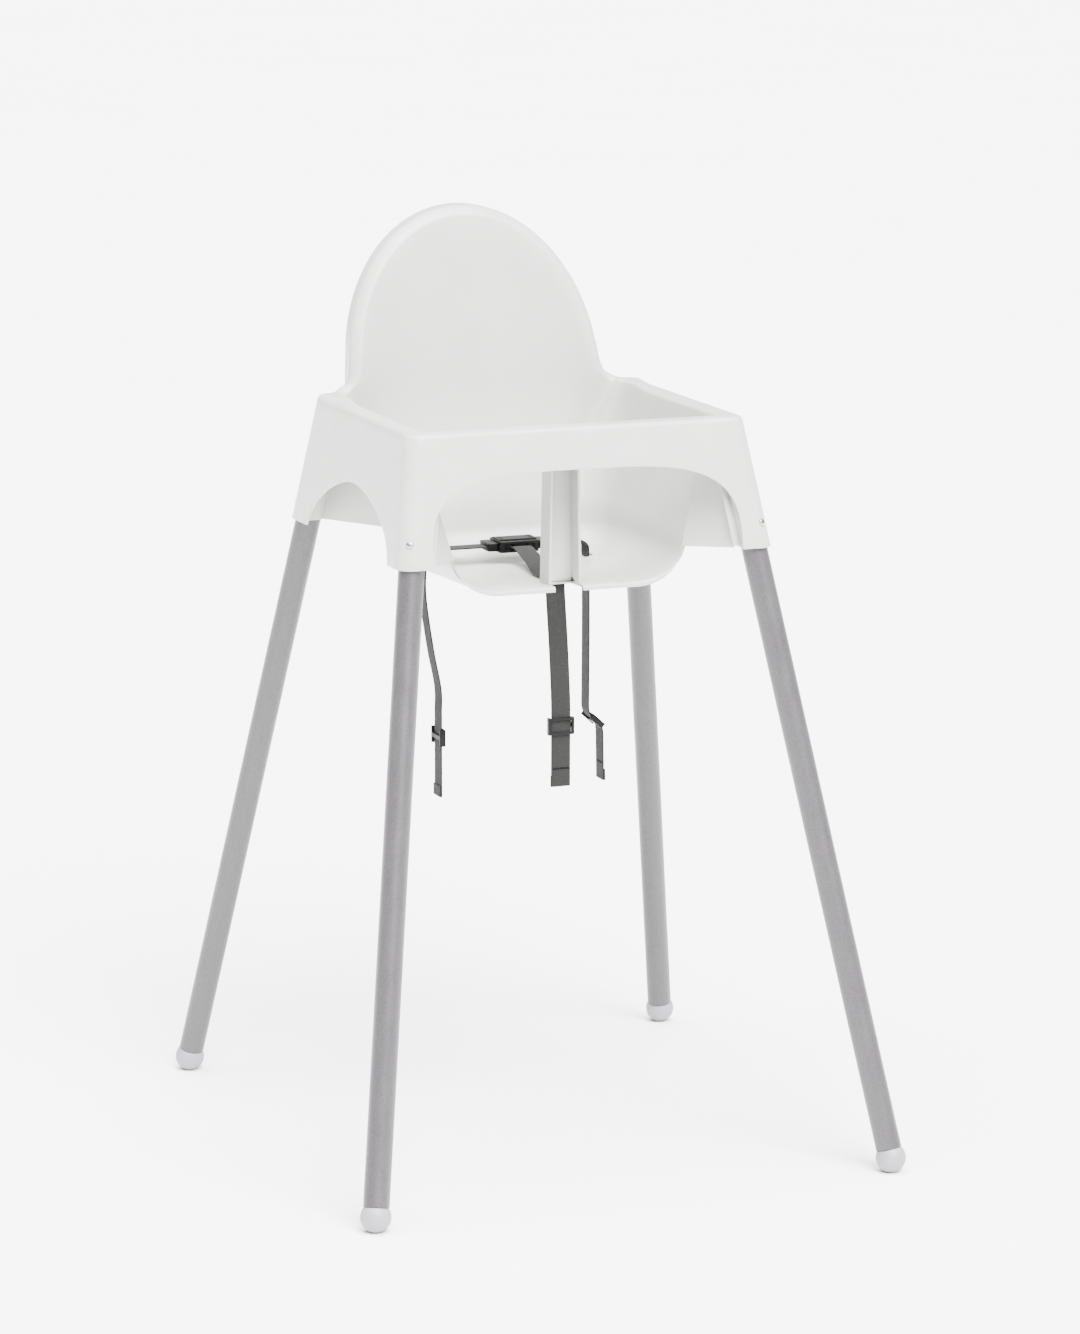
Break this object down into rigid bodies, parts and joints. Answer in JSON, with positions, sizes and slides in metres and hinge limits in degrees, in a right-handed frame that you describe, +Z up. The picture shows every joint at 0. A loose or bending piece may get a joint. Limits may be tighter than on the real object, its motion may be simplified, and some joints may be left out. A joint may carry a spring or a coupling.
{
  "type": "baby high chair",
  "caption": "High chair with a moulded one-piece bucket seat and rounded backrest on splayed push-in tube legs with ball feet, and a lap and crotch webbing harness with a clip buckle.",
  "frame": {"origin": "on the floor under the middle of the chair", "axes": "+Z up, the front of the chair and the leg openings face -Y, +X to the right when seen from the front"},
  "size_m": [0.5576, 0.6134, 0.9],
  "materials": {
    "shell_white": "moulded polypropylene, satin gloss",
    "leg_silver": "powder-coated steel tube",
    "foot_white": "moulded soft plastic",
    "steel": "plain spring steel",
    "webbing_grey": "woven polyester webbing",
    "buckle_black": "moulded acetal"
  },
  "bodies": {
    "root": {"seat_shell": "shell_white", "leg_front_left": "leg_silver", "foot_front_left": "foot_white", "button_spring_front_left": "steel", "leg_front_right": "leg_silver", "foot_front_right": "foot_white", "button_spring_front_right": "steel", "leg_rear_left": "leg_silver", "foot_rear_left": "foot_white", "button_spring_rear_left": "steel", "leg_rear_right": "leg_silver", "foot_rear_right": "foot_white", "button_spring_rear_right": "steel", "buckle_centre": "buckle_black", "crotch_strap": "webbing_grey", "lap_strap_left": "webbing_grey", "lap_strap_right": "webbing_grey"},
    "button_front_left": {"snap_button_front_left": "steel"},
    "button_front_right": {"snap_button_front_right": "steel"},
    "button_rear_left": {"snap_button_rear_left": "steel"},
    "button_rear_right": {"snap_button_rear_right": "steel"},
    "plug_left": {"buckle_plug_left": "buckle_black"},
    "prong_left_front": {"prong_left_front": "buckle_black"},
    "prong_left_rear": {"prong_left_rear": "buckle_black"},
    "plug_right": {"buckle_plug_right": "buckle_black"},
    "prong_right_front": {"prong_right_front": "buckle_black"},
    "prong_right_rear": {"prong_right_rear": "buckle_black"},
    "slider_left": {"slider_left": "buckle_black"},
    "slider_right": {"slider_right": "buckle_black"},
    "slider_crotch": {"slider_crotch": "buckle_black"}
  },
  "joints": [
    {"name": "button_front_left_press", "type": "slide", "parent": "root", "child": "button_front_left", "axis": [0.4783, 0.8334, -0.2769], "range_m": [0, 0.005], "stiffness_N_per_m": 500, "springref_m": -0.002, "deforming": ["button_spring_front_left"]},
    {"name": "button_front_right_press", "type": "slide", "parent": "root", "child": "button_front_right", "axis": [-0.4783, 0.8334, -0.2769], "range_m": [0, 0.005], "stiffness_N_per_m": 500, "springref_m": -0.002, "deforming": ["button_spring_front_right"]},
    {"name": "button_rear_left_press", "type": "slide", "parent": "root", "child": "button_rear_left", "axis": [0.4783, -0.836, -0.2691], "range_m": [0, 0.005], "stiffness_N_per_m": 500, "springref_m": -0.002, "deforming": ["button_spring_rear_left"]},
    {"name": "button_rear_right_press", "type": "slide", "parent": "root", "child": "button_rear_right", "axis": [-0.4783, -0.836, -0.2691], "range_m": [0, 0.005], "stiffness_N_per_m": 500, "springref_m": -0.002, "deforming": ["button_spring_rear_right"]},
    {"name": "plug_left_slide", "type": "slide", "parent": "root", "child": "plug_left", "axis": [-1, 0, 0], "range_m": [0, 0.018], "deforming": ["lap_strap_left", "prong_left_front", "prong_left_rear"]},
    {"name": "prong_left_front_squeeze", "type": "hinge", "parent": "plug_left", "child": "prong_left_front", "pos_m": [-0.0113, 0.0538, 0.57426], "axis": [0, 0, 1], "range_deg": [0, 8], "stiffness_Nm_per_rad": 0.1},
    {"name": "prong_left_rear_squeeze", "type": "hinge", "parent": "plug_left", "child": "prong_left_rear", "pos_m": [-0.0113, 0.0782, 0.57426], "axis": [0, 0, 1], "range_deg": [-8, 0], "stiffness_Nm_per_rad": 0.1},
    {"name": "plug_right_slide", "type": "slide", "parent": "root", "child": "plug_right", "axis": [1, 0, 0], "range_m": [0, 0.018], "deforming": ["lap_strap_right", "prong_right_front", "prong_right_rear"]},
    {"name": "prong_right_front_squeeze", "type": "hinge", "parent": "plug_right", "child": "prong_right_front", "pos_m": [0.0313, 0.0538, 0.57426], "axis": [0, 0, 1], "range_deg": [-8, 0], "stiffness_Nm_per_rad": 0.1},
    {"name": "prong_right_rear_squeeze", "type": "hinge", "parent": "plug_right", "child": "prong_right_rear", "pos_m": [0.0313, 0.0782, 0.57426], "axis": [0, 0, 1], "range_deg": [0, 8], "stiffness_Nm_per_rad": 0.1},
    {"name": "slider_left_shift", "type": "slide", "parent": "root", "child": "slider_left", "axis": [0.0004, 0, 1], "range_m": [-0.03, 0.03]},
    {"name": "slider_right_shift", "type": "slide", "parent": "root", "child": "slider_right", "axis": [0, 0, 1], "range_m": [-0.025, 0.02], "deforming": ["lap_strap_right"]},
    {"name": "slider_crotch_shift", "type": "slide", "parent": "root", "child": "slider_crotch", "axis": [0, 0, 1], "range_m": [-0.04, 0.006]}
  ],
  "couplings": [
    {"joint": "prong_left_rear_squeeze", "follows": "prong_left_front_squeeze", "ratio": -1},
    {"joint": "prong_right_rear_squeeze", "follows": "prong_right_front_squeeze", "ratio": -1}
  ]
}
